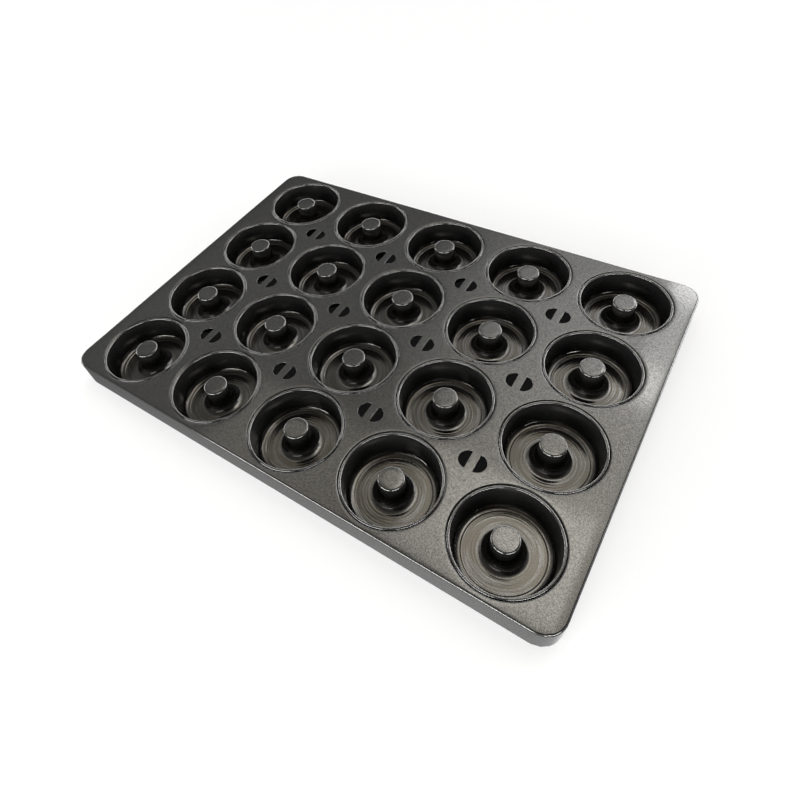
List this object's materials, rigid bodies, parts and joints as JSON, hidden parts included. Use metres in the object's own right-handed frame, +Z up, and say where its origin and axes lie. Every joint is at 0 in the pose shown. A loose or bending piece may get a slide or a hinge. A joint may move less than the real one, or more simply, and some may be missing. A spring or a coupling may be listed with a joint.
{
  "type": "doughnut pan",
  "caption": "Rectangular non-stick steel baking pan with rows of ring cups, each with a flat-topped pin, and half-moon air vents between them.",
  "frame": {"origin": "middle of the pan's outline, on the surface that its skirt stands on", "axes": "+X along the long side, +Y across the pan to the back row of cups, +Z up out of the cups"},
  "size_m": [0.457, 0.3296, 0.0241],
  "materials": {
    "frame_coating": "dark warm grey non-stick coating, fine satin grain",
    "cup_coating": "dark warm grey non-stick coating, satin, with faint turned rings in the floors"
  },
  "bodies": {
    "root": {"frame": "frame_coating", "cup_a1": "cup_coating", "cup_a2": "cup_coating", "cup_a3": "cup_coating", "cup_a4": "cup_coating", "cup_a5": "cup_coating", "cup_b1": "cup_coating", "cup_b2": "cup_coating", "cup_b3": "cup_coating", "cup_b4": "cup_coating", "cup_b5": "cup_coating", "cup_c1": "cup_coating", "cup_c2": "cup_coating", "cup_c3": "cup_coating", "cup_c4": "cup_coating", "cup_c5": "cup_coating", "cup_d1": "cup_coating", "cup_d2": "cup_coating", "cup_d3": "cup_coating", "cup_d4": "cup_coating", "cup_d5": "cup_coating"}
  },
  "joints": []
}
